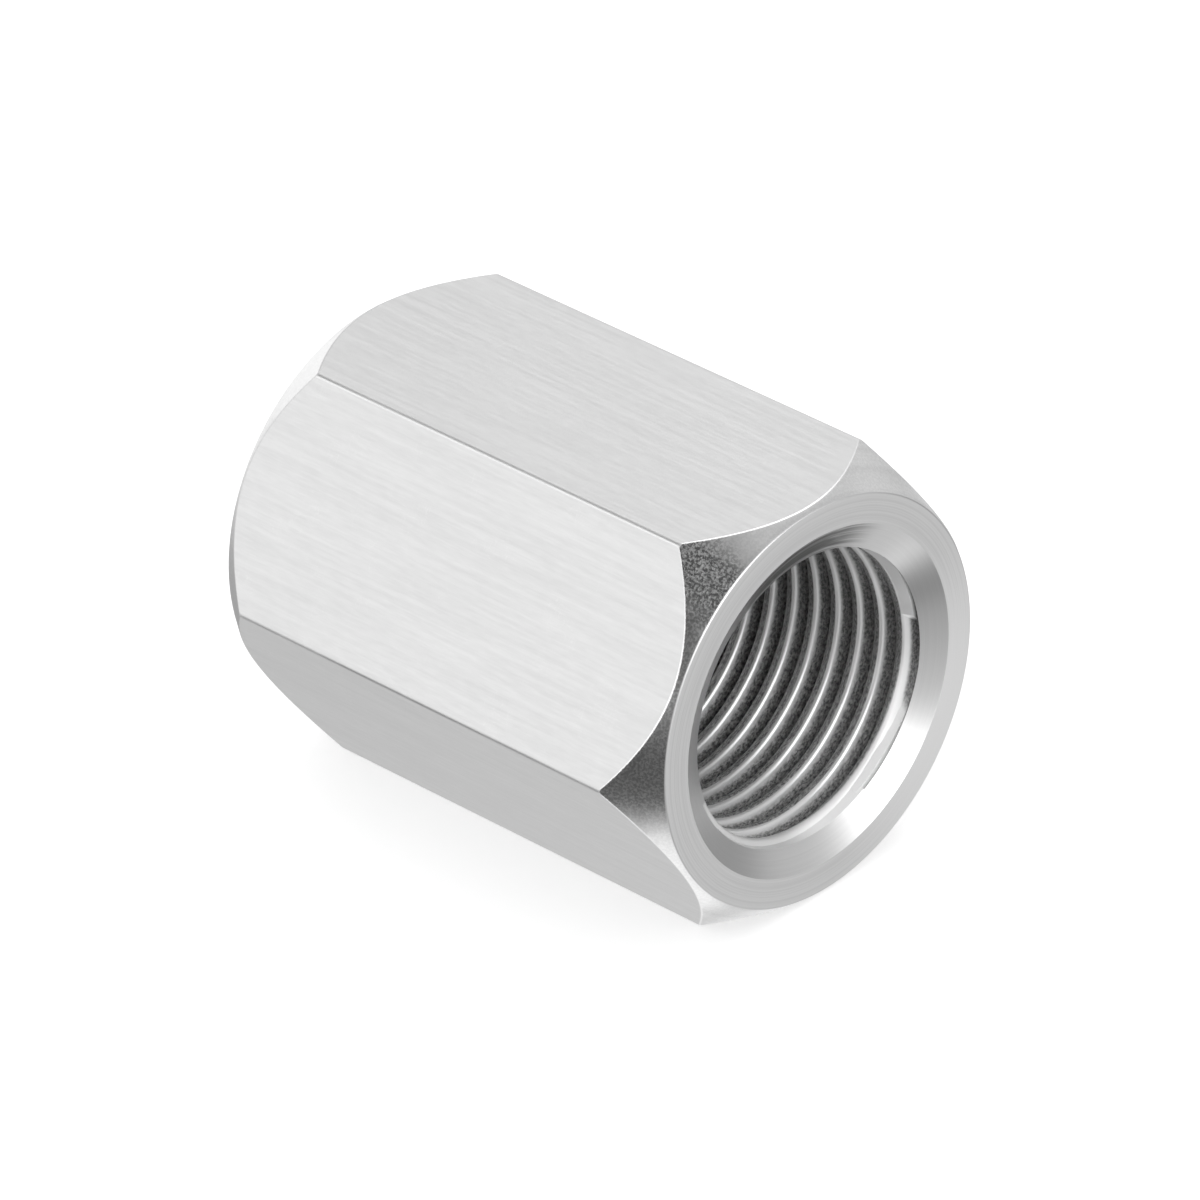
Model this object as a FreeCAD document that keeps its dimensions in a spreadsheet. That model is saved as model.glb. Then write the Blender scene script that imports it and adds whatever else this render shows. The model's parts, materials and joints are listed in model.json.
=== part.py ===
import FreeCAD, Part
import math
import os

import Sketcher
from FreeCAD import Vector

# Coupling nut: one hexagon bar, bored through and tapped from end to end.
# The bar lies on one flat. X runs along the bore, Z is up, and the origin is at the
# middle of the lowest flat. Lengths are in millimetres and angles in degrees.
# The bore is modelled at the thread's crests. The thread itself is too fine for this
# solid: 1.814 mm pitch, 1.162 mm deep, with its roots on a 20.955 mm circle.
SIZES = {
    "across_flats": 27.0,
    "nut_length": 37.0,
    "corner_rounding": 0.4,
    "end_face_diameter": 26.5,
    "end_chamfer_angle": 55.0,
    "rim_rounding": 0.25,
    "bore_diameter": 18.631,
    "countersink_diameter": 22.65,
    "countersink_angle": 120.0,
}
FLATS = 6
FULL_TURN = 360
CLOSE = 0.001


def make_sheet(doc):
    """The driving dimensions, one per row."""
    sheet = doc.addObject("Spreadsheet::Sheet", "Sizes")
    for row, (name, value) in enumerate(SIZES.items(), 1):
        sheet.set(f"A{row}", name)
        sheet.set(f"B{row}", str(value))
        sheet.setAlias(f"B{row}", name)
    doc.recompute()
    return sheet


def own_plane(body, role):
    """One of the body's own origin planes."""
    return next(item for item in body.Origin.OriginFeatures if item.Role == role)


def new_sketch(body, name, role):
    """A sketch on one of the body's own planes."""
    sketch = body.newObject("Sketcher::SketchObject", name)
    sketch.AttachmentSupport = [(own_plane(body, role), "")]
    sketch.MapMode = "FlatFace"
    return sketch


def rule(sketch, kind, *where):
    """A constraint with no size, or with the size that it has now."""
    return sketch.addConstraint(Sketcher.Constraint(kind, *where))


def sized(sketch, expression, kind, *where):
    """A constraint whose size comes from the sheet."""
    index = rule(sketch, kind, *where)
    sketch.setExpression(f"Constraints[{index}]", expression)
    return index


def add_outline(sketch, points):
    """A closed outline of straight lines; returns the number of its first line."""
    first = sketch.GeometryCount
    count = len(points)
    for i, (x, y) in enumerate(points):
        after = points[(i + 1) % count]
        line = Part.LineSegment(Vector(x, y, 0), Vector(after[0], after[1], 0))
        sketch.addGeometry(line, False)
    for i in range(count):
        rule(sketch, "Coincident", first + i, 2, first + (i + 1) % count, 1)
    return first


def add_bore_axis(sketch, height, reach):
    """The bore's axis as a construction line, half the hexagon above the lowest flat."""
    line = Part.LineSegment(Vector(-reach, height, 0), Vector(reach, height, 0))
    axis = sketch.addGeometry(line, True)
    rule(sketch, "Symmetric", axis, 1, axis, 2, -2)
    sized(sketch, "Sizes.across_flats / 2", "DistanceY", -1, 1, axis, 1, height)
    sized(sketch, "Sizes.nut_length", "DistanceX", axis, 1, axis, 2, 2 * reach)
    return axis


def turned_cut(body, sketch, name):
    """A full turn of the sketch's outline about the bore's axis, cut away."""
    groove = body.newObject("PartDesign::Groove", name)
    groove.Profile = sketch
    groove.ReferenceAxis = (sketch, ["Axis0"])
    groove.Angle = FULL_TURN
    body.Document.recompute()
    return groove


def hexagon_bar(body):
    """The bar: a regular hexagon with one side on the ground, drawn along X."""
    flats = SIZES["across_flats"]
    corner = flats / math.sqrt(3)
    middle = flats / 2
    sketch = new_sketch(body, "HexagonSection", "YZ_Plane")
    turns = [math.radians(FULL_TURN / FLATS * k) for k in range(FLATS)]
    points = [(corner * math.cos(t), middle + corner * math.sin(t)) for t in turns]
    add_outline(sketch, points)
    circle = Part.Circle(Vector(0, middle, 0), Vector(0, 0, 1), flats / 2)
    inner = sketch.addGeometry(circle, True)
    for side in range(FLATS):
        rule(sketch, "Tangent", side, inner)
    for side in range(FLATS - 1):
        rule(sketch, "Equal", side, side + 1)
    rule(sketch, "Horizontal", 1)
    rule(sketch, "PointOnObject", inner, 3, -2)
    sized(sketch, "Sizes.across_flats", "Diameter", inner, flats)
    sized(sketch, "Sizes.across_flats / 2", "DistanceY", -1, 1, inner, 3, middle)

    pad = body.newObject("PartDesign::Pad", "HexagonBar")
    pad.Profile = sketch
    pad.SideType = "Symmetric"
    pad.setExpression("Length", "Sizes.nut_length")
    body.Document.recompute()

    along = [
        f"Edge{i}"
        for i, edge in enumerate(pad.Shape.Edges, 1)
        if abs(edge.tangentAt(edge.FirstParameter).x) > 0.99
    ]
    fillet = body.newObject("PartDesign::Fillet", "RoundedCorners")
    fillet.Base = (pad, along)
    fillet.setExpression("Radius", "Sizes.corner_rounding")
    body.Document.recompute()


def end_chamfers(body):
    """One end turned to a cone that leaves a round face, and its mirror image."""
    half = SIZES["nut_length"] / 2
    middle = SIZES["across_flats"] / 2
    inner = SIZES["end_face_diameter"] / 2
    outer = SIZES["across_flats"]
    angle = math.radians(SIZES["end_chamfer_angle"])
    sketch = new_sketch(body, "EndChamferSection", "XZ_Plane")
    axis = add_bore_axis(sketch, middle, half)
    points = [
        (half, middle + inner),
        (half, middle + outer),
        (half - (outer - inner) * math.tan(angle), middle + outer),
    ]
    face = add_outline(sketch, points)
    top, slope = face + 1, face + 2
    rule(sketch, "Vertical", face)
    rule(sketch, "Horizontal", top)
    rule(sketch, "Vertical", axis, 2, face, 1)
    sized(sketch, "Sizes.end_face_diameter / 2", "DistanceY", axis, 2, face, 1, inner)
    sized(sketch, "Sizes.across_flats", "DistanceY", axis, 2, face, 2, outer)
    sized(sketch, "Sizes.end_chamfer_angle * 1deg", "Angle", face, 1, slope, 2, angle)

    groove = turned_cut(body, sketch, "EndChamfer")
    mirrored = body.newObject("PartDesign::Mirrored", "EndChamfers")
    mirrored.Originals = [groove]
    mirrored.MirrorPlane = (own_plane(body, "YZ_Plane"), [""])
    body.Tip = mirrored
    body.Document.recompute()


def bore(body):
    """The bore, as wide as the crests of its thread, opened to a cone at both ends."""
    half = SIZES["nut_length"] / 2
    middle = SIZES["across_flats"] / 2
    radius = SIZES["bore_diameter"] / 2
    mouth = SIZES["countersink_diameter"] / 2
    angle = math.radians(SIZES["countersink_angle"] / 2)
    depth = (mouth - radius) / math.tan(angle)
    sketch = new_sketch(body, "BoreSection", "XZ_Plane")
    axis = add_bore_axis(sketch, middle, half)
    points = [
        (-half, middle),
        (half, middle),
        (half, middle + mouth),
        (half - depth, middle + radius),
        (-half + depth, middle + radius),
        (-half, middle + mouth),
    ]
    centre = add_outline(sketch, points)
    near, near_cone, wall, far_cone, far = (centre + i for i in range(1, 6))
    rule(sketch, "Coincident", centre, 1, axis, 1)
    rule(sketch, "Coincident", centre, 2, axis, 2)
    rule(sketch, "Vertical", near)
    rule(sketch, "Vertical", far)
    rule(sketch, "Horizontal", wall)
    rule(sketch, "Equal", near, far)
    rule(sketch, "Equal", near_cone, far_cone)
    sized(sketch, "Sizes.bore_diameter / 2", "DistanceY", centre, 2, wall, 1, radius)
    sized(sketch, "Sizes.countersink_diameter / 2", "DistanceY", centre, 2, near, 2, mouth)
    turn = math.pi - angle
    sized(sketch, "180deg - Sizes.countersink_angle * 1deg / 2", "Angle", near_cone, 2, wall, 1, turn)
    turned_cut(body, sketch, "Bore")


def rim_rounding(body):
    """The outer rim of each end face, broken with a small radius."""
    base = body.Tip
    half = SIZES["nut_length"] / 2
    radius = SIZES["end_face_diameter"] / 2
    rims = [
        f"Edge{i}"
        for i, edge in enumerate(base.Shape.Edges, 1)
        if isinstance(edge.Curve, Part.Circle)
        and abs(edge.Curve.Radius - radius) < CLOSE
        and abs(abs(edge.Curve.Center.x) - half) < CLOSE
    ]
    fillet = body.newObject("PartDesign::Fillet", "RoundedRims")
    fillet.Base = (base, rims)
    fillet.setExpression("Radius", "Sizes.rim_rounding")
    body.Document.recompute()


def check(doc, body):
    """Stops if any object failed, or if the nut isn't one valid solid."""
    for item in doc.Objects:
        if "Invalid" in item.State or "Error" in item.State:
            raise RuntimeError(f"{item.Name} failed: {item.State}")
    shape = body.Shape
    if shape.isNull() or not shape.isValid() or len(shape.Solids) != 1:
        raise RuntimeError(f"{body.Label} isn't one valid solid")


def main():
    doc = FreeCAD.newDocument("coupling_nut")
    make_sheet(doc)
    body = doc.addObject("PartDesign::Body", "NutBody")
    body.Label = "coupling_nut"
    body.Placement = FreeCAD.Placement()
    hexagon_bar(body)
    end_chamfers(body)
    bore(body)
    rim_rounding(body)
    doc.recompute()
    check(doc, body)
    os.makedirs("parts", exist_ok=True)
    body.Shape.exportStep(os.path.join("parts", f"{body.Label}.step"))
    print(f"{body.Label}: {body.Shape.Volume:.1f} cubic mm, box {body.Shape.BoundBox}")


main()
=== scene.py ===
import json
import math

import bpy
from mathutils import Matrix, Vector


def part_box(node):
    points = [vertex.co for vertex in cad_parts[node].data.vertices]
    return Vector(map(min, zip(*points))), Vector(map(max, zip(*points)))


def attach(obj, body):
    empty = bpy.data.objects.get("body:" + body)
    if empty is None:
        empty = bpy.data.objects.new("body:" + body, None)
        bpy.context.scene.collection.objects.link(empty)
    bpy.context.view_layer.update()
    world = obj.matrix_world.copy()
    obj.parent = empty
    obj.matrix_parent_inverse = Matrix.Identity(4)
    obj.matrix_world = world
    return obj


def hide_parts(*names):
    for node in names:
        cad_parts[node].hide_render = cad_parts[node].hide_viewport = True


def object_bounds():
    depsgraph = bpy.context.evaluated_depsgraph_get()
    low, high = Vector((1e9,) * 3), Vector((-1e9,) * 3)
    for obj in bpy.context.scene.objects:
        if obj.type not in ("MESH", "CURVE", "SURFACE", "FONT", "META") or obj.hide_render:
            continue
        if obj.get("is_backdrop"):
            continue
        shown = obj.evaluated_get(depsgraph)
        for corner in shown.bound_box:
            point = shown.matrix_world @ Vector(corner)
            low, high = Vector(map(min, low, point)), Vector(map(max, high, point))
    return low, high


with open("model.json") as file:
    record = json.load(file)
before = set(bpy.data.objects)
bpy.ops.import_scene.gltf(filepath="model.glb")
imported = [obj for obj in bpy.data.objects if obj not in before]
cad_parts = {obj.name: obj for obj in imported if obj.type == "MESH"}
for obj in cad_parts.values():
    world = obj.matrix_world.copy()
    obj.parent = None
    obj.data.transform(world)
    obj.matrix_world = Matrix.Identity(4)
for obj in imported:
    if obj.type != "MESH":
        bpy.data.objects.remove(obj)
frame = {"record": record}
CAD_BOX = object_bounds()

bl_info = {
    "name": "Coupling nut",
    "version": (1, 0, 0),
    "blender": (4, 5, 0),
    "location": "3D View > Sidebar > Coupling nut",
    "description": "Models a hexagonal coupling nut with its thread, and lights it in a plain studio",
    "category": "Object",
}

# The bore's axis is along X, half the hexagon above the floor. Lengths are in metres,
# and the patterns of the materials are in millimetres from the bore's axis. A cutting
# tool reaches CLEAR past what it cuts, and points closer than CLOSE are one point.
NUT = "coupling_nut"
BODY = "root"
MM = 0.001
CLOSE = 0.0005 * MM
CLEAR = 0.3 * MM
FULL_TURN = 2 * math.pi
FLATS = 6
LOW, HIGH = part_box(NUT)
MIDDLE = HIGH.z / 2
THREAD_MOUNT = next(m for m in frame["record"]["mounts"] if m["kind"] == "threaded_hole")


def length(name, description, default):
    """A length that a user may change."""
    return bpy.props.FloatProperty(
        name=name, description=description, default=default, min=0, precision=5, unit="LENGTH"
    )


def angle(name, description, degrees):
    """An angle that a user may change."""
    return bpy.props.FloatProperty(
        name=name, description=description, default=math.radians(degrees), unit="ROTATION"
    )


def colour(name, description, default):
    """A colour that a user may change."""
    return bpy.props.FloatVectorProperty(
        name=name, description=description, default=default, subtype="COLOR", min=0, max=1
    )


def amount(name, description, default, highest=1):
    """A plain number that a user may change."""
    return bpy.props.FloatProperty(
        name=name, description=description, default=default, min=0, max=highest
    )


def shift(name, description, default):
    """A share of the picture's width that a user may change."""
    return bpy.props.FloatProperty(
        name=name, description=description, default=default, precision=5
    )


class NutSizes(bpy.types.PropertyGroup):
    """The nut's sizes, from the frame where it has them."""

    nut_length: length("Length", "Length of the nut along its bore", HIGH.x - LOW.x)
    across_flats: length("Across flats", "Width from one flat to the opposite one", HIGH.z - LOW.z)
    corner_rounding: length("Corner rounding", "Radius of the six long edges", 0.4 * MM)
    face_diameter: length("End face", "Diameter of the flat ring at each end", 26.5 * MM)
    chamfer_angle: angle("End chamfer", "Slope of the turned chamfer against the end face", 55)
    rim_rounding: length("Rim rounding", "Radius between the end face and its chamfer", 0.16 * MM)
    flat_break: length("Flat break", "Width of the broken edge round each flat's ends", 0.08 * MM)
    mouth_diameter: length("Mouth", "Diameter of the countersink at the end face", 22.65 * MM)
    mouth_angle: angle("Mouth angle", "Full angle of the countersink", 120)
    mouth_rounding: length("Mouth rounding", "Radius between end face and countersink", 0.12 * MM)
    crest_diameter: length(
        "Thread crests", "Diameter across the thread's crests", 2 * MM * THREAD_MOUNT["dims"]["r_mm"]
    )
    pitch: length("Pitch", "Distance from one turn of the thread to the next", 1.814 * MM)
    thread_depth: length("Thread depth", "Depth of the thread's grooves", 1.162 * MM)
    thread_angle: angle("Thread angle", "Angle between the two flanks of a groove", 55)
    crest_width: length("Crest width", "Width of each turn at its top, before rounding", 0.56 * MM)
    crest_rounding: length("Crest rounding", "Radius along both edges of a crest", 0.44 * MM)
    root_rounding: length("Root rounding", "Radius in the corners of a groove", 0.03 * MM)
    first_crest: length("First crest", "Where a crest passes the bore's +Y side", 14.45 * MM)
    last_turn: length("Last turn", "Where the last turn begins, from the middle of the bore", 16.45 * MM)
    runout_radius: length("Run-out", "Radius at which the last groove ends in a countersink", 9.8 * MM)
    closed_slope: angle("Closed slope", "Slope along the bore where the last groove is closed", 20)
    closed_from: angle("Closed from", "Where the last groove ends, from +Y towards +Z", -3)
    closed_to: angle("Closed to", "Where the last groove starts again", 46)
    fades_to: angle("Fades to", "Where the last groove has faded out", -66)
    left_handed: bpy.props.BoolProperty(
        name="Left-handed", description="Hand of the thread", default=True
    )


class NutFinish(bpy.types.PropertyGroup):
    """The steel's colours."""

    steel: colour("Steel", "Colour of the drawn and turned steel", (0.77, 0.77, 0.77))
    # The groove colour is partly the steel's own dark in the grooves and partly painted shade where
    # little light reaches.
    groove: colour("Groove", "Colour of the steel down in the thread's grooves", (0.22, 0.22, 0.22))
    # Speckle is the colour of real grain spots, and also of the painted dark reflection on one chamfer.
    speckle: colour("Speckle", "Colour of the dark spots on the chamfers", (0.2, 0.2, 0.2))


class StudioSettings(bpy.types.PropertyGroup):
    """The camera and the light."""

    azimuth: angle("Azimuth", "Direction of the camera round the nut, from +X towards +Y", -44.003)
    elevation: angle("Elevation", "Height of the camera above the horizon", 32.035)
    roll: angle("Roll", "Tilt of the camera about its own line of sight", -3.282)
    distance: length("Distance", "From the nut's middle to the camera", 687.26 * MM)
    lens: amount("Lens", "Focal length in millimetres on a 36 mm sensor", 340.02, 1000)
    shift_x: shift("Shift X", "Sideways shift of the picture", 0.00187)
    shift_y: shift("Shift Y", "Upward shift of the picture", -0.00307)
    floor_colour: colour("Floor", "Colour of the floor", (0.6, 0.6, 0.6))
    floor_glow: amount("Floor glow", "Brightness of the floor where the nut shades it", 0.5)
    backdrop: amount("Backdrop", "Brightness of the backdrop behind the floor", 1.0, 10)
    fill: amount("Fill", "Brightness of the soft light from all round", 1.3, 10)


# Soft cards round the nut, as its surfaces mirror them: azimuth from +X towards +Y and elevation
# in degrees, the angles out to which a card is whole and at which it has faded, and brightness.
# Each row says what mirrors the card. A later card covers an earlier one, and the open room
# shows where there is none.
CARDS = (
    (135, 18, 44, 73, 0.71),  # top flat
    (-129, 14, 35, 60, 0.97),  # upper side flat
    (-64, -84, 24, 43, 1.25),  # near chamfer, below its dark part
    (78, -42, 36, 42, 0.67),  # end face and countersink
    (99, -1, 15, 38, 0.81),  # chamfer, upper right
    (-69, -19, 16, 34, 0.11),  # near chamfer, lower part
    (-54, 31, 10, 25, 0.09),  # near chamfer, middle
    (-32, 50, 9, 32, 0.03),  # near chamfer, upper part
    (-6, 26, 20, 28, 2.18),  # countersink, lower right
    (113, 59, 12, 22, 2.40),  # broken edge at the end of the top flat
    (-93, 16, 8, 22, 2.28),  # broken edge at the end of the side flat
    (14, 0, 11, 22, 2.11),  # countersink, bottom
    (-15, -42, 10, 22, 0.47),  # countersink, right
    (-167, 51, 7, 17, 0.15),  # upper long edge, dark line
    (-141, 37, 8, 14, 1.56),  # upper long edge, bright line
    (-136, -32, 6, 18, 0.20),  # lower long edge
    (136, -45, 7, 14, 1.13),  # chamfer, lower left
    (-5, -51, 6, 13, 0.18),  # rim of the end face, lower left
    (79, -13, 14, 26, 0.33),  # countersink, left
    (158, -11, 9, 17, 1.30),  # far chamfer
    (155, -30, 7, 15, 0.40),  # far chamfer, lower part
)
OPEN_ROOM = 0.58


# Selection and modelling helpers


def select_only(*pieces):
    """Leaves just these pieces selected, the last one active, in object mode."""
    if bpy.context.object and bpy.context.object.mode != "OBJECT":
        bpy.ops.object.mode_set(mode="OBJECT")
    bpy.ops.object.select_all(action="DESELECT")
    for piece in pieces:
        piece.select_set(True)
        bpy.context.view_layer.objects.active = piece


def edit(piece, domain):
    """Edit mode on this piece, with nothing selected."""
    select_only(piece)
    bpy.ops.object.mode_set(mode="EDIT")
    bpy.ops.mesh.select_mode(type=domain)
    bpy.ops.mesh.select_all(action="DESELECT")


def pick_edges(piece, wanted):
    """Edit mode on this piece, with just the edges selected whose two ends pass the test."""
    edit(piece, "EDGE")
    bpy.ops.object.mode_set(mode="OBJECT")
    points = piece.data.vertices
    for edge in piece.data.edges:
        first, second = edge.vertices
        edge.select = wanted(points[first].co, points[second].co)
    bpy.ops.object.mode_set(mode="EDIT")


def settle(piece, name, finish):
    """Points the piece's faces outwards, applies its placement, and gives it its name and finish."""
    edit(piece, "FACE")
    bpy.ops.mesh.select_all(action="SELECT")
    bpy.ops.mesh.normals_make_consistent(inside=False)
    select_only(piece)
    bpy.ops.object.transform_apply(location=True, rotation=True, scale=True)
    piece.name = name
    piece.data.name = name
    piece.data.materials.append(finish)
    return piece


def apply_modifier(piece, kind, **settings):
    """Adds a modifier, sets it up and applies it."""
    select_only(piece)
    modifier = piece.modifiers.new(kind.title(), kind)
    for key, value in settings.items():
        setattr(modifier, key, value)
    bpy.ops.object.modifier_apply(modifier=modifier.name)


def tidy(piece):
    """Merges points that coincide and drops faces with no width."""
    edit(piece, "VERT")
    bpy.ops.mesh.select_all(action="SELECT")
    bpy.ops.mesh.remove_doubles(threshold=CLOSE)
    bpy.ops.mesh.dissolve_degenerate(threshold=CLOSE)


def machine(piece, tool, operation):
    """Shapes the piece with a solid tool, whose finish stays on what it leaves."""
    apply_modifier(
        piece, "BOOLEAN", object=tool, operation=operation, solver="EXACT", material_mode="TRANSFER"
    )
    bpy.data.meshes.remove(tool.data)
    tidy(piece)


def rounded(outline, radii, steps):
    """The outline with an arc in each corner that radii names by its number."""
    result = []
    for i, corner in enumerate(outline):
        if i not in radii:
            result.append(corner)
            continue
        here = Vector(corner)
        back = (Vector(outline[i - 1]) - here).normalized()
        ahead = (Vector(outline[i + 1]) - here).normalized()
        half = back.angle(ahead) / 2
        reach = radii[i] / math.tan(half)
        centre = here + (back + ahead).normalized() * radii[i] / math.sin(half)
        start = here + back * reach - centre
        turn = start.angle_signed(here + ahead * reach - centre)
        for k in range(steps + 1):
            arc = start.copy()
            arc.rotate(Matrix.Rotation(-turn * k / steps, 2))
            result.append(tuple(centre + arc))
    return result


def disc(sides, x, radius):
    """A flat disc across the bore's axis, in edit mode and all selected."""
    select_only()
    bpy.ops.mesh.primitive_circle_add(
        vertices=sides, radius=radius, fill_type="NGON",
        location=(x, 0, MIDDLE), rotation=(0, math.pi / 2, 0),
    )
    piece = bpy.context.object
    bpy.ops.object.transform_apply(location=True, rotation=True, scale=True)
    bpy.ops.object.mode_set(mode="EDIT")
    bpy.ops.mesh.select_mode(type="FACE")
    return piece


def turned_form(name, outline, finish, sides=240):
    """A disc extruded and scaled along the outline's (x, radius) points, as on a lathe."""
    x, radius = outline[0]
    piece = disc(sides, x, radius)
    for next_x, next_radius in outline[1:]:
        bpy.ops.mesh.extrude_region_move(TRANSFORM_OT_translate={"value": (next_x - x, 0, 0)})
        scale = next_radius / radius
        bpy.ops.transform.resize(value=(1, scale, scale), center_override=(next_x, 0, MIDDLE))
        x, radius = next_x, next_radius
    return settle(piece, name, finish)


# The nut's shapes


def hexagon_bar(sizes, finish):
    """The bar, longer than the nut: a hexagon extruded along the bore, its long edges rounded."""
    half = sizes.nut_length / 2 + MM
    bar = disc(FLATS, -half, sizes.across_flats / math.sqrt(3))
    bpy.ops.mesh.extrude_region_move(TRANSFORM_OT_translate={"value": (2 * half, 0, 0)})
    pick_edges(bar, lambda a, b: abs(a.x - b.x) > half)
    reach = sizes.corner_rounding * math.tan(math.pi / FLATS)
    bpy.ops.mesh.bevel(offset_type="OFFSET", offset=reach, segments=8, affect="EDGES")
    return settle(bar, NUT + "_dressed", finish)


def turned_ends(sizes, finish):
    """The form of the two end faces and their chamfers, wider than the bar in between."""
    half = sizes.nut_length / 2
    face = sizes.face_diameter / 2
    inner = face * 0.9
    wide = sizes.across_flats * 0.7
    depth = (wide - face) * math.tan(sizes.chamfer_angle)
    outline = [
        (-half, inner), (-half, face), (-half + depth, wide),
        (half - depth, wide), (half, face), (half, inner),
    ]
    rims = {1: sizes.rim_rounding, 4: sizes.rim_rounding}
    return turned_form("turned_ends", rounded(outline, rims, steps=6), finish)


def bore_cutter(sizes, finish):
    """The drill: narrower than the crests, with a cone for the countersink at each end."""
    half = sizes.nut_length / 2
    mouth = sizes.mouth_diameter / 2
    narrow = sizes.crest_diameter / 2 - CLEAR
    slope = math.tan(sizes.mouth_angle / 2)
    inside = half - (mouth - narrow) / slope
    beyond = half + CLEAR
    flare = mouth + 3 * MM
    outline = [
        (-beyond, flare), (-half, mouth), (-inside, narrow),
        (inside, narrow), (half, mouth), (beyond, flare),
    ]
    rims = {1: sizes.mouth_rounding, 4: sizes.mouth_rounding}
    return turned_form("bore_cutter", rounded(outline, rims, steps=5), finish, sides=360)


def drawn_line(points):
    """A line through these points, with its origin on the bore's axis; left in edit mode."""
    origin = Vector((0, 0, MIDDLE))
    select_only()
    bpy.ops.mesh.primitive_plane_add(size=MM, location=origin)
    piece = bpy.context.object
    bpy.ops.object.mode_set(mode="EDIT")
    bpy.ops.mesh.select_mode(type="VERT")
    bpy.ops.mesh.select_all(action="SELECT")
    bpy.ops.mesh.merge(type="CENTER")
    bpy.ops.transform.translate(value=Vector(points[0]) - origin)
    for here, there in zip(points, points[1:]):
        step = Vector(there) - Vector(here)
        bpy.ops.mesh.extrude_vertices_move(TRANSFORM_OT_translate={"value": step})
    return piece


def closing_plug(sizes, finish, corners, start, deep, gap):
    """A block that closes the last groove: these corners extruded along the bore, less a cone.

    A corner is a radius and a turn from +Y towards +Z. The cone leaves a small gap over the crests.
    """
    crest = sizes.crest_diameter / 2
    slope = math.tan(sizes.closed_slope)
    plug = drawn_line(
        [(start, radius * math.cos(turn), MIDDLE + radius * math.sin(turn)) for radius, turn in corners]
    )
    bpy.ops.mesh.select_all(action="SELECT")
    bpy.ops.mesh.edge_face_add()
    bpy.ops.mesh.extrude_region_move(TRANSFORM_OT_translate={"value": (deep, 0, 0)})
    grow = 1 + deep * slope / crest
    bpy.ops.transform.resize(value=(1, grow, grow), center_override=(start + deep, 0, MIDDLE))
    settle(plug, "plug", finish)
    land = sizes.last_turn + 0.1 * MM
    inside, outside = land - 2 * MM, land + 4 * MM
    core = [(x, crest + gap + (x - land) * slope) for x in (inside, outside)]
    machine(plug, turned_form("core", core, finish), "DIFFERENCE")
    return plug


def closing_plugs(sizes, finish, wide):
    """The three blocks that close the last groove on part of its turn, one after the other."""
    crest = sizes.crest_diameter / 2
    inner = crest - CLEAR
    outer = wide * 1.5
    turn = math.radians
    lean = turn(3)
    start = sizes.last_turn

    # Where the groove ends, above +Y: its end leans, so that it doesn't face the mouth.
    above = [
        (inner, sizes.closed_from + 4 * lean),
        (crest + 0.35 * MM, sizes.closed_from + 2 * lean),
        (wide, sizes.closed_from - lean),
        (outer, (sizes.closed_from + sizes.closed_to) / 2),
        (wide, sizes.closed_to + turn(14)),
        (crest, sizes.closed_to),
    ]
    yield closing_plug(sizes, finish, above, start=start + 0.1 * MM, deep=0.76 * MM, gap=0.02 * MM)

    # Where it fades out, below +Y: the block rises from under the crests, step by step.
    steps = 9
    lowest, rise = crest - 0.1 * MM, 0.125 * MM
    fade = (sizes.closed_from - sizes.fades_to) / steps
    ramp = [(lowest + rise * k, sizes.fades_to + fade * k) for k in range(steps + 1)]
    ramp += [(outer, 0), (outer, turn(-35)), (wide, sizes.fades_to - lean)]
    yield closing_plug(sizes, finish, ramp, start=start + 0.45 * MM, deep=0.5 * MM, gap=0.035 * MM)

    # The rest of the turn, round the bottom of the mouth.
    below = [
        (inner, sizes.fades_to), (wide, sizes.fades_to + turn(9)),
        (outer, turn(-80)), (outer, turn(-120)),
        (wide, turn(-150)), (inner, turn(-145)), (inner, turn(-105)),
    ]
    yield closing_plug(sizes, finish, below, start=start + 0.47 * MM, deep=3 * MM, gap=0.05 * MM)


def run_out(sizes, finish):
    """What the thread may fill: its last groove ends in the countersink, closed on part of its turn."""
    half = sizes.nut_length / 2
    mouth = sizes.mouth_diameter / 2
    radius = sizes.runout_radius
    wide = sizes.crest_diameter / 2 + sizes.thread_depth + MM
    end = half - (mouth - radius) / math.tan(sizes.mouth_angle / 2)
    wall = end - (wide - radius) * math.tan(sizes.thread_angle / 2)
    beyond = end + CLEAR
    outline = [
        (-beyond, radius), (-end, radius), (-wall, wide),
        (wall, wide), (end, radius), (beyond, radius),
    ]
    room = turned_form("run_out", outline, finish)
    for plug in closing_plugs(sizes, finish, wide):
        machine(room, plug, "DIFFERENCE")
    return room


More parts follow.
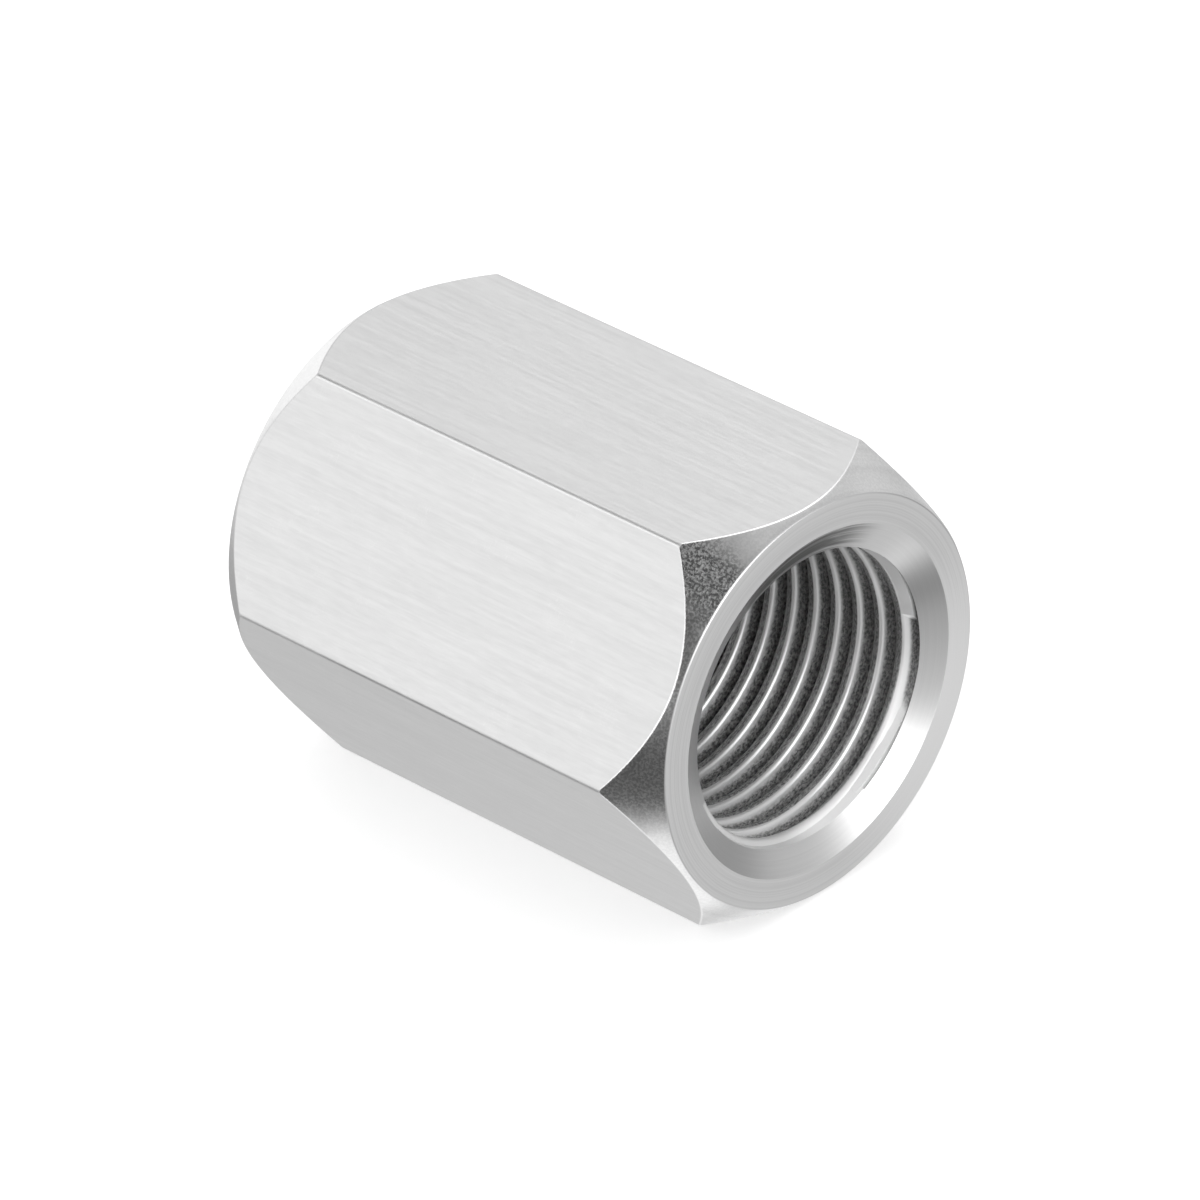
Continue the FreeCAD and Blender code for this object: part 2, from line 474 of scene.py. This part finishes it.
def thread_tap(sizes, finish):
    """The tap: one turn's outline, drawn point by point, wound along the bore and closed."""
    pitch = sizes.pitch
    crest = sizes.crest_diameter / 2
    root = crest + sizes.thread_depth
    top = sizes.crest_width / 2
    foot = top + sizes.thread_depth * math.tan(sizes.thread_angle / 2)
    outline = [
        (-pitch / 2, root), (-foot, root), (-top, crest),
        (top, crest), (foot, root), (pitch / 2, root),
    ]
    roots = {corner: sizes.root_rounding for corner in (1, 4)}
    crests = {corner: sizes.crest_rounding for corner in (2, 3)}
    outline = rounded(outline, {**roots, **crests}, steps=6)
    spare = 4
    turns = math.ceil(sizes.nut_length / pitch) + spare
    start = sizes.first_crest + spare * pitch
    tap = drawn_line([(start + x, radius, MIDDLE) for x, radius in outline])
    steps = 96
    apply_modifier(
        tap, "SCREW", axis="X", angle=FULL_TURN if sizes.left_handed else -FULL_TURN,
        screw_offset=-pitch, iterations=turns, steps=steps, render_steps=steps, use_smooth_shade=False,
    )
    tidy(tap)

    # Each end's open rim is drawn together to a point, which closes the tap.
    for side in (1, -1):
        edit(tap, "EDGE")
        bpy.ops.mesh.select_non_manifold()
        bpy.ops.object.mode_set(mode="OBJECT")
        points = tap.data.vertices
        rim = {
            edge.index for edge in tap.data.edges
            if edge.select and side * points[edge.vertices[0]].co.x > 0
        }
        edit(tap, "EDGE")
        bpy.ops.object.mode_set(mode="OBJECT")
        for index in rim:
            tap.data.edges[index].select = True
        bpy.ops.object.mode_set(mode="EDIT")
        bpy.ops.mesh.extrude_edges_move()
        bpy.ops.mesh.merge(type="CENTER")
    settle(tap, "thread_tap", finish)
    machine(tap, run_out(sizes, finish), "INTERSECT")
    return tap


def break_edges(nut, sizes):
    """A small bevel where the flats meet the chamfers."""
    edit(nut, "EDGE")
    bpy.ops.mesh.edges_select_sharp(sharpness=math.radians(25))
    bpy.ops.mesh.bevel(offset_type="OFFSET", offset=sizes.flat_break, segments=4, affect="EDGES")
    tidy(nut)


def smooth(nut):
    """Smooth shading that stops where the thread's own faces end."""
    edit(nut, "FACE")
    nut.active_material_index = nut.material_slots.find("cut_thread")
    bpy.ops.object.material_slot_select()
    bpy.ops.mesh.region_to_loop()
    bpy.ops.mesh.mark_sharp()
    select_only(nut)
    bpy.ops.object.shade_smooth_by_angle(angle=math.radians(16))
    apply_modifier(nut, "WEIGHTED_NORMAL", keep_sharp=True, weight=80)


# Materials


def add_node(tree, kind, inputs=None, **settings):
    """Adds a node, sets it up, and sets or links its inputs."""
    node = tree.nodes.new(kind)
    for key, value in settings.items():
        setattr(node, key, value)
    for key, value in (inputs or {}).items():
        if isinstance(value, bpy.types.NodeSocket):
            tree.links.new(value, node.inputs[key])
        else:
            node.inputs[key].default_value = value
    return node


def maths(tree, operation, *values, clamp=False):
    """The result of a Math node."""
    return add_node(
        tree, "ShaderNodeMath", dict(enumerate(values)), operation=operation, use_clamp=clamp
    ).outputs[0]


def mapped(tree, value, low, high, to_low=0, to_high=1, smooth=True):
    """A value fitted from one range to another."""
    return add_node(
        tree, "ShaderNodeMapRange",
        {"Value": value, "From Min": low, "From Max": high, "To Min": to_low, "To Max": to_high},
        interpolation_type="SMOOTHSTEP" if smooth else "LINEAR",
    ).outputs[0]


def mixed(tree, share, first, second):
    """A value from the first to the second."""
    return add_node(
        tree, "ShaderNodeMix", {0: share, 2: first, 3: second}, data_type="FLOAT"
    ).outputs[0]


def stretched(tree, vector, scale, turn=(0, 0, 0)):
    """A vector turned and scaled for a pattern."""
    return add_node(
        tree, "ShaderNodeMapping", {"Vector": vector, "Scale": scale, "Rotation": turn}
    ).outputs[0]


def noise(tree, vector, scale, detail=2, roughness=0.5, distortion=0):
    """A noise pattern from 0 to 1."""
    inputs = {"Vector": vector, "Scale": scale, "Detail": detail, "Roughness": roughness}
    return add_node(tree, "ShaderNodeTexNoise", {**inputs, "Distortion": distortion}).outputs[0]


def new_group(name, inputs, outputs):
    """An empty shader node group, and its input and output nodes."""
    tree = bpy.data.node_groups.new(name, "ShaderNodeTree")
    for label, default in inputs.items():
        kind = "NodeSocketVector" if default is None else "NodeSocketFloat"
        socket = tree.interface.new_socket(label, in_out="INPUT", socket_type=kind)
        if default is not None:
            socket.default_value = default
    for label in outputs:
        tree.interface.new_socket(label, in_out="OUTPUT", socket_type="NodeSocketFloat")
    return tree, tree.nodes.new("NodeGroupInput").outputs, tree.nodes.new("NodeGroupOutput").inputs


def round_the_bore():
    """Group: a point's distance from the bore's axis, its way along it, and its turn round it."""
    tree, given, result = new_group("round_the_bore", {"Vector": None}, ("Radius", "Along", "Turn"))
    x, y, z = add_node(tree, "ShaderNodeSeparateXYZ", {0: given["Vector"]}).outputs
    squares = maths(tree, "MULTIPLY_ADD", y, y, maths(tree, "MULTIPLY", z, z))
    turn = maths(tree, "DIVIDE", maths(tree, "ARCTAN2", z, y), FULL_TURN)
    tree.links.new(maths(tree, "SQRT", squares), result["Radius"])
    tree.links.new(x, result["Along"])
    tree.links.new(turn, result["Turn"])
    return tree


def turning_marks():
    """Group: the fine rings that a lathe leaves, broken up round the turn."""
    tree, given, result = new_group(
        "turning_marks", {"Radius": 0.0, "Along": 0.0, "Vector": None, "Rings per mm": 6.0}, ("Rings",)
    )
    across = maths(tree, "ADD", given["Radius"], given["Along"])
    fine = maths(tree, "MULTIPLY", across, given["Rings per mm"])
    drift = maths(tree, "MULTIPLY", noise(tree, given["Vector"], 0.12), 1.5)
    where = add_node(tree, "ShaderNodeCombineXYZ", {"X": fine, "Y": drift}).outputs[0]
    tree.links.new(noise(tree, where, 1, detail=3, roughness=0.6), result["Rings"])
    return tree


def drawn_lines():
    """Group: the straight lines along a drawn bar, long ones with short breaks over them."""
    tree, given, result = new_group("drawn_lines", {"Vector": None, "Fineness": 3.0}, ("Lines",))
    drawn_out = stretched(tree, given["Vector"], (0.03, 1, 1))
    long_lines = noise(tree, drawn_out, given["Fineness"], detail=4, roughness=0.6)
    broken_up = stretched(tree, given["Vector"], (0.25, 1.6, 1.6))
    short_lines = noise(tree, broken_up, given["Fineness"], detail=3, roughness=0.6)
    both = maths(tree, "MULTIPLY_ADD", short_lines, 0.4, maths(tree, "MULTIPLY", long_lines, 0.6))
    tree.links.new(both, result["Lines"])
    return tree


def mottle():
    """Group: a fine grain of spots, and a soft cloud."""
    tree, given, result = new_group("mottle", {"Vector": None, "Size": 0.4}, ("Spots", "Cloud"))
    scale = maths(tree, "DIVIDE", 1, given["Size"])
    tree.links.new(noise(tree, given["Vector"], scale, roughness=0.6, distortion=0.3), result["Spots"])
    tree.links.new(noise(tree, given["Vector"], 0.22), result["Cloud"])
    return tree


def scratches():
    """Group: thin marks from handling, in two directions."""
    tree, given, result = new_group("scratches", {"Vector": None}, ("Marks",))
    marks = []
    for scale, turn in (((0.25, 2.2, 2.2), (0.9, 0.5, 0.7)), ((1.9, 0.2, 0.6), (0.3, 0.8, 0.2))):
        line = noise(tree, stretched(tree, given["Vector"], scale, turn), 1.3, distortion=0.4)
        ridge = maths(tree, "ABSOLUTE", maths(tree, "SUBTRACT", line, 0.5))
        marks.append(mapped(tree, ridge, 0.012, 0))
    patch = mapped(tree, noise(tree, given["Vector"], 0.35), 0.52, 0.68)
    tree.links.new(maths(tree, "MULTIPLY", maths(tree, "MAXIMUM", *marks), patch), result["Marks"])
    return tree


class Steel:
    """A steel material under construction: its node tree, its pattern coordinates and its shader."""

    def __init__(self, name, groups, colour_now):
        self.material = bpy.data.materials.new(name)
        self.material.use_nodes = True
        self.tree = self.material.node_tree
        self.groups = groups
        self.shader = self.tree.nodes["Principled BSDF"]
        self.put("Base Color", (*colour_now, 1))
        self.put("Metallic", 1)
        place = add_node(self.tree, "ShaderNodeTexCoord").outputs["Object"]
        self.vector = add_node(
            self.tree, "ShaderNodeMapping",
            {"Vector": place, "Location": (0, 0, -MIDDLE / MM), "Scale": (1 / MM,) * 3},
        ).outputs[0]

    def group(self, name, **inputs):
        """Places one of the shared node groups, fed with the pattern coordinates."""
        node = add_node(self.tree, "ShaderNodeGroup", node_tree=self.groups[name])
        for key, value in {"Vector": self.vector, **inputs}.items():
            key = key.replace("_", " ")
            if isinstance(value, bpy.types.NodeSocket):
                self.tree.links.new(value, node.inputs[key])
            else:
                node.inputs[key].default_value = value
        return node.outputs

    def blend(self, factor, first, second):
        """Mixes two colours."""
        mix = add_node(self.tree, "ShaderNodeMix", data_type="RGBA")
        for number, value in ((0, factor), (6, first), (7, second)):
            if isinstance(value, bpy.types.NodeSocket):
                self.tree.links.new(value, mix.inputs[number])
            else:
                mix.inputs[number].default_value = value if number == 0 else (*value, 1)
        return mix.outputs[2]

    def maths(self, operation, *values, clamp=False):
        """The result of a Math node."""
        return maths(self.tree, operation, *values, clamp=clamp)

    def mapped(self, value, *ends, smooth=True):
        """A value fitted from one range to another."""
        return mapped(self.tree, value, *ends, smooth=smooth)

    def put(self, name, value):
        """Sets or links one of the shader's inputs."""
        if isinstance(value, bpy.types.NodeSocket):
            self.tree.links.new(value, self.shader.inputs[name])
        else:
            self.shader.inputs[name].default_value = value

    def bump(self, height, microns, normal=None):
        """Raises the surface by so many thousandths of a millimetre over the height's range."""
        inputs = {"Height": height, "Distance": microns * 0.001 * MM, "Strength": 1}
        if normal is not None:
            inputs["Normal"] = normal
        made = add_node(self.tree, "ShaderNodeBump", inputs).outputs[0]
        self.put("Normal", made)
        return made


def shade(colour_now, factor):
    """A colour made lighter or darker."""
    return tuple(min(1, channel * factor) for channel in colour_now)


def flats_finish(finish, groups):
    """Drawn flats: lines along the bar and a few handling marks, faint on the top flat."""
    steel = Steel("drawn_flats", groups, finish.steel)
    lines = steel.group("drawn_lines", Fineness=3.2)["Lines"]
    marks = steel.group("scratches")["Marks"]
    height = add_node(steel.tree, "ShaderNodeSeparateXYZ", {0: steel.vector}).outputs["Z"]
    top = MIDDLE / MM
    strength = steel.mapped(height, top - 0.05, top - 0.3, 0.25, 1)

    tone = steel.mapped(lines, 0.35, 0.65, smooth=False)
    worn = steel.blend(tone, shade(finish.steel, 0.95), shade(finish.steel, 1.04))
    plain = steel.blend(strength, finish.steel, worn)
    scratched = steel.maths("MULTIPLY", marks, 0.25)
    steel.put("Base Color", steel.blend(scratched, plain, shade(finish.steel, 1.2)))
    steel.put("Roughness", steel.mapped(lines, 0.3, 0.7, 0.3, 0.4))
    relief = steel.maths("MULTIPLY_ADD", marks, -0.4, lines)
    steel.bump(steel.maths("MULTIPLY", relief, strength), microns=3)
    return steel.material


def grain_and_painted_dark_patch(steel, place, cloud):
    """How grainy and dark a point is: a little all over as real grain, and most on one side of the +X
    end, where the dark grain is a painted dark reflection.

    It starts a third of a turn from +Y, is weaker on from there, and ends past -Y.
    """
    turn = steel.maths("MULTIPLY_ADD", cloud, 0.03, place["Turn"])
    turn = steel.maths("WRAP", turn, 1, 0)
    patch = steel.mapped(place["Along"], 0, 1)
    start = steel.mapped(turn, 0.325, 0.343)
    weaker = steel.mapped(turn, 0.36, 0.4, 1, 0.42)
    end = steel.mapped(turn, 0.522, 0.545, 1, 0)
    for edge in (start, weaker, end):
        patch = steel.maths("MULTIPLY", patch, edge)
    return steel.maths("MULTIPLY_ADD", patch, 0.88, 0.12)


def chamfer_finish(finish, groups):
    """Turned chamfers and end faces: fine rings; a dark, grainy patch on the chamfers, partly real grain
    and partly a painted dark reflection; and a painted highlight on one side of the end face.
    """
    steel = Steel("turned_chamfers", groups, finish.steel)
    place = steel.group("round_the_bore")
    across = {"Radius": place["Radius"], "Along": place["Along"]}
    rings = steel.group("turning_marks", **across, Rings_per_mm=7.0)["Rings"]
    mottled = steel.group("mottle", Size=0.16)
    end = HIGH.x / MM
    off_face = steel.mapped(steel.maths("ABSOLUTE", place["Along"]), end - 0.04, end - 0.1)
    # Painted dark reflection: the patch darkens one side of the +X chamfer with the grain's dark spots.
    patch = steel.maths("MULTIPLY", grain_and_painted_dark_patch(steel, place, mottled["Cloud"]), off_face)

    # Painted highlight: the end face is painted lighter, up to white, towards one side.
    on_face = steel.maths("SUBTRACT", 1, off_face)
    towards = steel.maths("MULTIPLY_ADD", place["Turn"], FULL_TURN, math.radians(30))
    light = steel.mapped(steel.maths("COSINE", towards), 0.5, 1.15)
    tone = steel.mapped(rings, 0.35, 0.65)
    turned = steel.blend(tone, shade(finish.steel, 0.94), shade(finish.steel, 1.04))
    turned = steel.blend(steel.maths("MULTIPLY", light, on_face), turned, (1, 1, 1))

    # The spots are real grain; where the patch gathers them on one side, they are a painted dark
    # reflection.
    dark = steel.mapped(mottled["Spots"], 0.34, 0.62)
    grain = steel.blend(dark, finish.steel, finish.speckle)
    steel.put("Base Color", steel.blend(patch, turned, grain))
    steel.put("Roughness", steel.mapped(off_face, 0, 1, 0.36, 0.28))
    relief = steel.bump(rings, microns=2.5)
    steel.bump(steel.maths("MULTIPLY", mottled["Spots"], patch), microns=10, normal=relief)
    return steel.material


def mouth_finish(finish, groups):
    """Countersink: smooth, with faint rings, and darker streaks across its top."""
    steel = Steel("turned_mouth", groups, finish.steel)
    radius, along, turn = steel.group("round_the_bore")
    rings = steel.group("turning_marks", Radius=radius, Along=along, Rings_per_mm=5.0)["Rings"]
    streaks = steel.group("turning_marks", Radius=radius, Along=turn, Rings_per_mm=2.2)["Rings"]
    here = steel.maths("MULTIPLY", steel.mapped(turn, 0.15, 0.21), steel.mapped(turn, 0.36, 0.3))
    dark = steel.maths("MULTIPLY", steel.mapped(streaks, 0.36, 0.56), here)
    plain = steel.blend(rings, shade(finish.steel, 0.92), shade(finish.steel, 1.08))
    steel.put("Base Color", steel.blend(dark, plain, finish.groove))
    steel.put("Roughness", 0.28)
    steel.bump(rings, microns=3)
    return steel.material


def groove_and_painted_shade_mask(steel, sizes, place, height, last_turn):
    """1 down in the grooves and on the painted shade of the far flanks, 0 on the crests, and the way
    across the turns.
    """
    crest = sizes.crest_diameter / 2 / MM
    pitch = sizes.pitch / MM

    # Painted light: the bright part reaches farther down in the lower half, and farthest on the last
    # turn.
    low = steel.mapped(height, 0, -crest, smooth=False)
    land = steel.mapped(height, -4.2, -7, 0.2, 0.75)
    reach = steel.maths("MULTIPLY_ADD", last_turn, land, steel.maths("MULTIPLY", low, 0.13))
    depth = steel.maths("SUBTRACT", place["Radius"], reach)
    deep = steel.mapped(depth, crest + 0.13, crest + 0.43)

    # Painted shade: the flank that faces away from the mouth is painted dark from just past its crest
    # on.
    across = steel.maths("MULTIPLY_ADD", place["Turn"], pitch, place["Along"])
    past = steel.maths("SUBTRACT", across, sizes.first_crest / MM)
    past = steel.maths("WRAP", past, pitch / 2, -pitch / 2)
    past = steel.maths("MULTIPLY", past, steel.maths("SIGN", place["Along"]))
    start = sizes.last_turn / MM
    from_middle = steel.maths("ABSOLUTE", place["Along"])
    edge = steel.mapped(from_middle, start - 0.75, start - 0.35, 0.2, 0.27)
    painted_far_flank_shade = steel.mapped(steel.maths("SUBTRACT", past, edge), 0, -0.08)
    painted_far_flank_shade = steel.maths("SUBTRACT", painted_far_flank_shade, last_turn, clamp=True)
    return steel.maths("MAXIMUM", deep, painted_far_flank_shade), across


def thread_finish(finish, groups, sizes):
    """Cut thread: painted light from each crest down one flank, painted shade on the other, and darker
    and rougher in the grooves, where the dark is partly the steel's own and partly painted shade.
    """
    steel = Steel("cut_thread", groups, finish.steel)
    place = steel.group("round_the_bore")
    side, height = add_node(steel.tree, "ShaderNodeSeparateXYZ", {0: steel.vector}).outputs[1:]
    start = sizes.last_turn / MM
    from_middle = steel.maths("ABSOLUTE", place["Along"])
    last_turn = steel.mapped(from_middle, start, start + 0.25)
    groove, across = groove_and_painted_shade_mask(steel, sizes, place, height, last_turn)

    # The grooves have a grain drawn out along them, with painted light: lighter in the lower half of the
    # bore.
    per_mm, per_turn = 16, 240
    where = {
        "X": steel.maths("MULTIPLY", across, per_mm),
        "Y": steel.maths("MULTIPLY", place["Turn"], per_turn),
        "Z": place["Radius"],
    }
    where = add_node(steel.tree, "ShaderNodeCombineXYZ", where).outputs[0]
    grain = steel.mapped(noise(steel.tree, where, 1, detail=4, roughness=0.65), 0.35, 0.7)
    upper = steel.blend(grain, shade(finish.groove, 0.5), shade(finish.groove, 1.5))
    lower = steel.blend(grain, shade(finish.groove, 0.8), shade(finish.groove, 3.2))
    low = steel.mapped(height, 0, -sizes.crest_diameter / 2 / MM, smooth=False)
    groove_grain_painted_lit_below = steel.blend(low, upper, lower)

    # Painted light and shade: crests are painted lighter in the lower half, darker in the upper half and
    # on the far wall's last turn, and less of a mirror
    #     in the upper half and on the lower part of the last turn.
    above = steel.mapped(height, 0.5, 4)
    far_wall = steel.maths("MULTIPLY", last_turn, steel.mapped(side, 1, -3))
    painted_crest_shade = steel.maths("MAXIMUM", above, far_wall)
    crests_painted_lit_and_shaded = steel.blend(painted_crest_shade, shade(finish.steel, 1.15), shade(finish.steel, 0.72))
    lit_land = steel.maths("MULTIPLY", last_turn, steel.mapped(height, -1, -5))
    mirror = steel.mapped(above, 0, 1, 0.6, 0.25)

    # Grooves take the groove colour, partly painted shade; crests take their painted light and shade.
    steel.put("Base Color", steel.blend(groove, crests_painted_lit_and_shaded, groove_grain_painted_lit_below))
    steel.put("Metallic", steel.maths("MULTIPLY_ADD", lit_land, -0.5, mirror))
    steel.put("Roughness", steel.mapped(groove, 0, 1, 0.28, 0.45))
    steel.bump(steel.maths("MULTIPLY", grain, groove), microns=12)
    return steel.material


# Operators


class OBJECT_OT_coupling_nut(bpy.types.Operator):
    """Models the nut: a rounded hexagon bar with turned ends, a countersunk bore and a thread"""

    bl_idname = "object.coupling_nut"
    bl_label = "Coupling nut"

    def execute(self, context):
        sizes = context.scene.nut_sizes
        finish = context.scene.nut_finish
        groups = {
            make.__name__: make()
            for make in (round_the_bore, turning_marks, drawn_lines, mottle, scratches)
        }
        nut = hexagon_bar(sizes, flats_finish(finish, groups))
        machine(nut, turned_ends(sizes, chamfer_finish(finish, groups)), "INTERSECT")
        break_edges(nut, sizes)
        machine(nut, bore_cutter(sizes, mouth_finish(finish, groups)), "DIFFERENCE")
        machine(nut, thread_tap(sizes, thread_finish(finish, groups, sizes)), "DIFFERENCE")
        smooth(nut)
        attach(nut, BODY)
        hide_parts(NUT)
        return {"FINISHED"}


def heading(azimuth, elevation):
    """The direction at an azimuth, from +X towards +Y, and an elevation."""
    flat = math.cos(elevation)
    return Vector((flat * math.cos(azimuth), flat * math.sin(azimuth), math.sin(elevation)))


class OBJECT_OT_nut_studio(bpy.types.Operator):
    """Sets up the camera, the floor and the soft light"""

    bl_idname = "object.nut_studio"
    bl_label = "Studio"

    def execute(self, context):
        studio = context.scene.nut_studio
        self.camera(context, studio)
        self.floor(context, studio)
        self.light(context, studio)
        context.scene.view_settings.view_transform = "Standard"
        return {"FINISHED"}

    def camera(self, context, studio):
        """The camera that was fitted to the photo."""
        back = heading(studio.azimuth, studio.elevation)
        bpy.ops.object.camera_add()
        camera = context.object
        camera.name = "camera"
        turn = back.to_track_quat("Z", "Y").to_matrix().to_4x4() @ Matrix.Rotation(studio.roll, 4, "Z")
        camera.matrix_world = Matrix.Translation((LOW + HIGH) / 2 + back * studio.distance) @ turn
        camera.data.lens = studio.lens
        camera.data.sensor_width = 36
        camera.data.shift_x = studio.shift_x
        camera.data.shift_y = studio.shift_y
        camera.data.clip_start = 0.01
        context.scene.camera = camera

    def floor(self, context, studio):
        """A plain floor that glows a little, and that the steel doesn't mirror."""
        bpy.ops.mesh.primitive_plane_add(size=6, location=(0, 0, 0))
        floor = context.object
        floor.name = "floor"
        paint = bpy.data.materials.new("floor_paint")
        paint.use_nodes = True
        shader = paint.node_tree.nodes["Principled BSDF"]
        shader.inputs["Base Color"].default_value = (*studio.floor_colour, 1)
        shader.inputs["Roughness"].default_value = 0.9
        shader.inputs["Emission Color"].default_value = (1, 1, 1, 1)
        shader.inputs["Emission Strength"].default_value = studio.floor_glow
        floor.data.materials.append(paint)
        floor.visible_glossy = False
        floor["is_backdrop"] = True

    def light(self, context, studio):
        """A plain white backdrop and an even fill, and soft cards that only mirrored rays see."""
        world = context.scene.world or bpy.data.worlds.new("studio")
        context.scene.world = world
        world.use_nodes = True
        tree = world.node_tree
        direction = add_node(tree, "ShaderNodeTexCoord").outputs["Generated"]
        level = OPEN_ROOM
        for *angles, brightness in CARDS:
            azimuth, elevation, whole, faded = map(math.radians, angles)
            toward = add_node(
                tree, "ShaderNodeVectorMath", {0: direction, 1: heading(azimuth, elevation)},
                operation="DOT_PRODUCT",
            ).outputs["Value"]
            share = mapped(tree, toward, math.cos(faded), math.cos(whole))
            level = mixed(tree, share, level, brightness)
        ray = add_node(tree, "ShaderNodeLightPath").outputs
        plain = mixed(tree, ray["Is Camera Ray"], studio.fill, studio.backdrop)
        background = tree.nodes["Background"].inputs
        tree.links.new(mixed(tree, ray["Is Glossy Ray"], plain, level), background["Strength"])
        background["Color"].default_value = (1, 1, 1, 1)


class VIEW3D_PT_coupling_nut(bpy.types.Panel):
    """The nut's and the studio's settings and buttons"""

    bl_label = "Coupling nut"
    bl_idname = "VIEW3D_PT_coupling_nut"
    bl_space_type = "VIEW_3D"
    bl_region_type = "UI"
    bl_category = "Coupling nut"

    def draw(self, context):
        """A box for each operator, with its settings below its button."""
        scene = context.scene
        for operator, groups in (
            (OBJECT_OT_nut_studio, (scene.nut_studio,)),
            (OBJECT_OT_coupling_nut, (scene.nut_sizes, scene.nut_finish)),
        ):
            box = self.layout.box()
            box.operator(operator.bl_idname)
            for group in groups:
                for name in group.__annotations__:
                    box.prop(group, name)


SETTINGS = {"nut_sizes": NutSizes, "nut_finish": NutFinish, "nut_studio": StudioSettings}
CLASSES = (*SETTINGS.values(), OBJECT_OT_coupling_nut, OBJECT_OT_nut_studio, VIEW3D_PT_coupling_nut)


def register():
    """Adds the classes and the settings to Blender."""
    for one in CLASSES:
        bpy.utils.register_class(one)
    for name, group in SETTINGS.items():
        setattr(bpy.types.Scene, name, bpy.props.PointerProperty(type=group))


def unregister():
    """Takes the settings and the classes away again."""
    for name in SETTINGS:
        delattr(bpy.types.Scene, name)
    for one in reversed(CLASSES):
        bpy.utils.unregister_class(one)


def main():
    """Builds the studio and the nut."""
    register()
    bpy.ops.object.nut_studio()
    bpy.ops.object.coupling_nut()
    boxes = {"cad": CAD_BOX, "visual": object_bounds()}
    {name: [list(corner) for corner in box] for name, box in boxes.items()}


if __name__ == "__main__":
    main()
